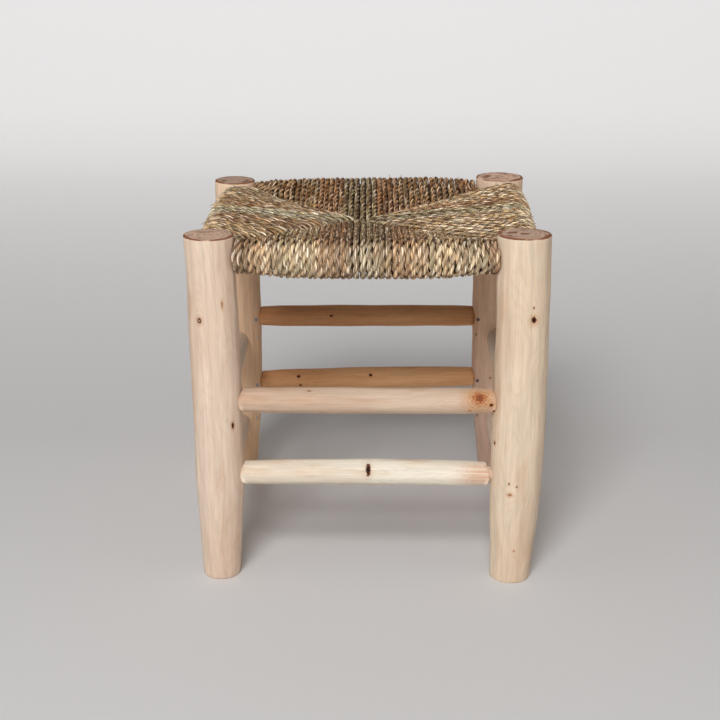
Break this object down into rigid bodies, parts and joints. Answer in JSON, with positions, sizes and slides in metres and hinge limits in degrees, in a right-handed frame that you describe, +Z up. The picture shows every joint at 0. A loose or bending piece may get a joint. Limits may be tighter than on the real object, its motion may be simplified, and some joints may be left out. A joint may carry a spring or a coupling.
{
  "type": "rush seat stool",
  "caption": "Low stool of hewn round posts and rungs, with a flat square seat wound from twisted rush cord in mitred panels, for sitting on.",
  "frame": {"origin": "on the floor, under the middle of the stool's outline", "axes": "+X to the right seen from the front, +Y towards the back, +Z up along the posts"},
  "size_m": [0.396, 0.3666, 0.4026],
  "materials": {
    "post_wood": "hewn, bare",
    "rung_wood": "hewn, bare",
    "rail_wood": "rough, bare",
    "rush_cord": "dry twisted rush",
    "nail_steel": "dull, bluish"
  },
  "bodies": {
    "root": {"post_front_left": "post_wood", "post_front_right": "post_wood", "post_back_left": "post_wood", "post_back_right": "post_wood", "rung_front_upper": "rung_wood", "rung_front_lower": "rung_wood", "rung_back_upper": "rung_wood", "rung_back_lower": "rung_wood", "rung_left_upper": "rung_wood", "rung_left_lower": "rung_wood", "rung_right_upper": "rung_wood", "rung_right_lower": "rung_wood", "seat_rail_front": "rail_wood", "seat_rail_back": "rail_wood", "seat_rail_left": "rail_wood", "seat_rail_right": "rail_wood", "seat_weave_front": "rush_cord", "seat_weave_back": "rush_cord", "seat_weave_left": "rush_cord", "seat_weave_right": "rush_cord", "nail_front_upper_1": "nail_steel", "nail_front_upper_2": "nail_steel", "nail_front_lower_1": "nail_steel", "nail_front_lower_2": "nail_steel", "nail_back_upper_1": "nail_steel", "nail_back_upper_2": "nail_steel", "nail_back_lower_1": "nail_steel", "nail_back_lower_2": "nail_steel", "nail_left_upper_1": "nail_steel", "nail_left_upper_2": "nail_steel", "nail_left_lower_1": "nail_steel", "nail_left_lower_2": "nail_steel", "nail_right_upper_1": "nail_steel", "nail_right_upper_2": "nail_steel", "nail_right_lower_1": "nail_steel", "nail_right_lower_2": "nail_steel"}
  },
  "joints": []
}
